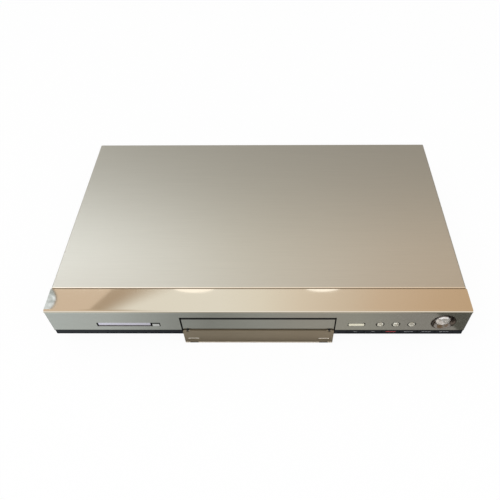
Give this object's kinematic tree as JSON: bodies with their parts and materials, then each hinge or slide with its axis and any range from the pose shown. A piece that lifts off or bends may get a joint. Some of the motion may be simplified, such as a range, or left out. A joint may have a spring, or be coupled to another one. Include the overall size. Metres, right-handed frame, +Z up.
{
  "type": "dvd recorder",
  "caption": "Slim silver disc recorder with a drop-down flap before its tray, a card slot, round buttons, a jog knob and a glossy lower strip.",
  "frame": {"origin": "centre of the footprint on the surface that the feet stand on", "axes": "+X to the right of a person facing the front, +Y from front to back, +Z up"},
  "size_m": [0.4332, 0.274, 0.063],
  "materials": {
    "silver_cover": "satin",
    "zinc_sheet": "satin",
    "mirror_trim": "polished",
    "silver_front": "satin",
    "gloss_black": "gloss",
    "smoked_window": "gloss",
    "display_glass": "clear",
    "black_plastic": "matte",
    "flap_finish": "satin",
    "steel_pin": "polished",
    "bright_cap": "polished",
    "lilac_metal": "satin",
    "tray_plastic": "matte",
    "grey_plastic": "matte",
    "white_gear": "matte",
    "belt_rubber": "matte",
    "foot_plastic": "matte",
    "board_green": "satin",
    "motor_steel": "satin",
    "heat_sink": "satin",
    "copper_winding": "satin",
    "can_sleeve": "gloss",
    "screw_black": "satin"
  },
  "bodies": {
    "case": {"top_cover": "silver_cover", "case_screws": "screw_black", "base_chassis": "zinc_sheet", "feet": "foot_plastic", "mirror_band": "mirror_trim", "front_panel": "silver_front", "strip_left": "gloss_black", "strip_right": "gloss_black", "display_window": "smoked_window", "display_tube": "display_glass", "card_cage": "zinc_sheet", "card_connector": "black_plastic", "jog_dish": "silver_front", "jog_encoder": "black_plastic", "front_board": "board_green", "drive_frame": "grey_plastic", "clamp_bridge": "zinc_sheet", "loading_motor": "motor_steel", "drive_belt": "belt_rubber", "main_board": "board_green", "chip_heat_sink": "heat_sink", "power_board": "board_green", "transformer": "copper_winding", "power_heat_sink": "heat_sink", "power_capacitors": "can_sleeve", "tuner_can": "zinc_sheet", "av_sockets": "black_plastic", "mains_inlet": "black_plastic", "rear_panel": "zinc_sheet", "fan_frame": "black_plastic"},
    "flap": {"front_flap": "flap_finish", "flap_pins": "steel_pin"},
    "roller_left": {"flap_roller_left": "steel_pin"},
    "roller_right": {"flap_roller_right": "steel_pin"},
    "card_door": {"card_door": "lilac_metal"},
    "card_eject": {"card_eject_button": "bright_cap"},
    "open_key": {"open_button": "bright_cap"},
    "round_left": {"round_button_left": "bright_cap"},
    "round_middle": {"round_button_middle": "bright_cap"},
    "round_right": {"round_button_right": "bright_cap"},
    "jog": {"jog_knob": "bright_cap"},
    "key_1": {"strip_key_1": "gloss_black"},
    "key_2": {"strip_key_2": "gloss_black"},
    "key_3": {"strip_key_3": "gloss_black"},
    "key_4": {"strip_key_4": "gloss_black"},
    "key_5": {"strip_key_5": "gloss_black"},
    "key_6": {"strip_key_6": "gloss_black"},
    "tray": {"disc_tray": "tray_plastic", "tray_fascia": "silver_front"},
    "clamper": {"disc_clamper": "black_plastic"},
    "traverse": {"traverse_base": "grey_plastic", "guide_rods": "steel_pin", "spindle_motor": "motor_steel", "sled_motor": "motor_steel"},
    "turntable": {"turntable": "black_plastic"},
    "sled": {"laser_sled": "black_plastic"},
    "screw_shaft": {"lead_screw": "steel_pin"},
    "motor_pulley": {"motor_pulley": "white_gear"},
    "tray_gear": {"pulley_gear": "white_gear"},
    "fan": {"fan_rotor": "black_plastic"}
  },
  "joints": [
    {"name": "flap_hinge", "type": "hinge", "parent": "case", "child": "flap", "pos_m": [0, -0.13485, 0.02636], "axis": [1, 0, 0], "range_deg": [-180, 0]},
    {"name": "roller_left_spin", "type": "hinge", "parent": "flap", "child": "roller_left", "pos_m": [-0.07, -0.1345, 0.01036], "axis": [1, 0, 0], "continuous": true},
    {"name": "roller_right_spin", "type": "hinge", "parent": "flap", "child": "roller_right", "pos_m": [0.07, -0.1345, 0.01036], "axis": [1, 0, 0], "continuous": true},
    {"name": "card_door_hinge", "type": "hinge", "parent": "case", "child": "card_door", "pos_m": [-0.13869, -0.1338, 0.04065], "axis": [1, 0, 0], "range_deg": [0, 80], "stiffness_Nm_per_rad": 0.02},
    {"name": "card_eject_press", "type": "slide", "parent": "case", "child": "card_eject", "axis": [0, 1, 0], "range_m": [0, 0.003], "stiffness_N_per_m": 400},
    {"name": "open_close_press", "type": "slide", "parent": "case", "child": "open_key", "axis": [0, 1, 0], "range_m": [0, 0.001], "stiffness_N_per_m": 400},
    {"name": "left_button_press", "type": "slide", "parent": "case", "child": "round_left", "axis": [0, 1, 0], "range_m": [0, 0.001], "stiffness_N_per_m": 400},
    {"name": "middle_button_press", "type": "slide", "parent": "case", "child": "round_middle", "axis": [0, 1, 0], "range_m": [0, 0.001], "stiffness_N_per_m": 400},
    {"name": "right_button_press", "type": "slide", "parent": "case", "child": "round_right", "axis": [0, 1, 0], "range_m": [0, 0.001], "stiffness_N_per_m": 400},
    {"name": "jog_turn", "type": "hinge", "parent": "case", "child": "jog", "pos_m": [0.1898, -0.13555, 0.04336], "axis": [0, 1, 0], "continuous": true},
    {"name": "strip_key_1_press", "type": "slide", "parent": "case", "child": "key_1", "axis": [0, 1, 0], "range_m": [0, 0.0006], "stiffness_N_per_m": 400},
    {"name": "strip_key_2_press", "type": "slide", "parent": "case", "child": "key_2", "axis": [0, 1, 0], "range_m": [0, 0.0006], "stiffness_N_per_m": 400},
    {"name": "strip_key_3_press", "type": "slide", "parent": "case", "child": "key_3", "axis": [0, 1, 0], "range_m": [0, 0.0006], "stiffness_N_per_m": 400},
    {"name": "strip_key_4_press", "type": "slide", "parent": "case", "child": "key_4", "axis": [0, 1, 0], "range_m": [0, 0.0006], "stiffness_N_per_m": 400},
    {"name": "strip_key_5_press", "type": "slide", "parent": "case", "child": "key_5", "axis": [0, 1, 0], "range_m": [0, 0.0006], "stiffness_N_per_m": 400},
    {"name": "strip_key_6_press", "type": "slide", "parent": "case", "child": "key_6", "axis": [0, 1, 0], "range_m": [0, 0.0006], "stiffness_N_per_m": 400},
    {"name": "tray_slide", "type": "slide", "parent": "case", "child": "tray", "axis": [0, -1, 0], "range_m": [0, 0.135]},
    {"name": "tray_gear_spin", "type": "hinge", "parent": "case", "child": "tray_gear", "pos_m": [0.04, -0.10955, 0], "axis": [0, 0, 1], "range_deg": [-830, 830]},
    {"name": "motor_pulley_spin", "type": "hinge", "parent": "case", "child": "motor_pulley", "pos_m": [0.022, -0.10155, 0], "axis": [0, 0, 1], "range_deg": [-1900, 1900]},
    {"name": "traverse_tilt", "type": "hinge", "parent": "case", "child": "traverse", "pos_m": [0, 0.02545, 0.0229], "axis": [1, 0, 0], "range_deg": [0, 3.5]},
    {"name": "turntable_spin", "type": "hinge", "parent": "traverse", "child": "turntable", "pos_m": [0, -0.06055, 0], "axis": [0, 0, 1], "continuous": true},
    {"name": "clamper_spin", "type": "hinge", "parent": "case", "child": "clamper", "pos_m": [0, -0.06055, 0], "axis": [0, 0, 1], "continuous": true},
    {"name": "sled_slide", "type": "slide", "parent": "traverse", "child": "sled", "axis": [0, 1, 0], "range_m": [0, 0.022]},
    {"name": "lead_screw_spin", "type": "hinge", "parent": "traverse", "child": "screw_shaft", "pos_m": [0.0365, -0.06055, 0.0255], "axis": [0, 1, 0], "range_deg": [-4500, 4500]},
    {"name": "fan_spin", "type": "hinge", "parent": "case", "child": "fan", "pos_m": [0.03999, 0.11445, 0.0339], "axis": [0, 1, 0], "continuous": true}
  ],
  "couplings": [
    {"joint": "tray_gear_spin", "follows": "tray_slide", "rad_per_m": -100},
    {"joint": "motor_pulley_spin", "follows": "tray_slide", "rad_per_m": -225},
    {"joint": "clamper_spin", "follows": "turntable_spin", "ratio": 1},
    {"joint": "lead_screw_spin", "follows": "sled_slide", "rad_per_m": -3141.6}
  ]
}
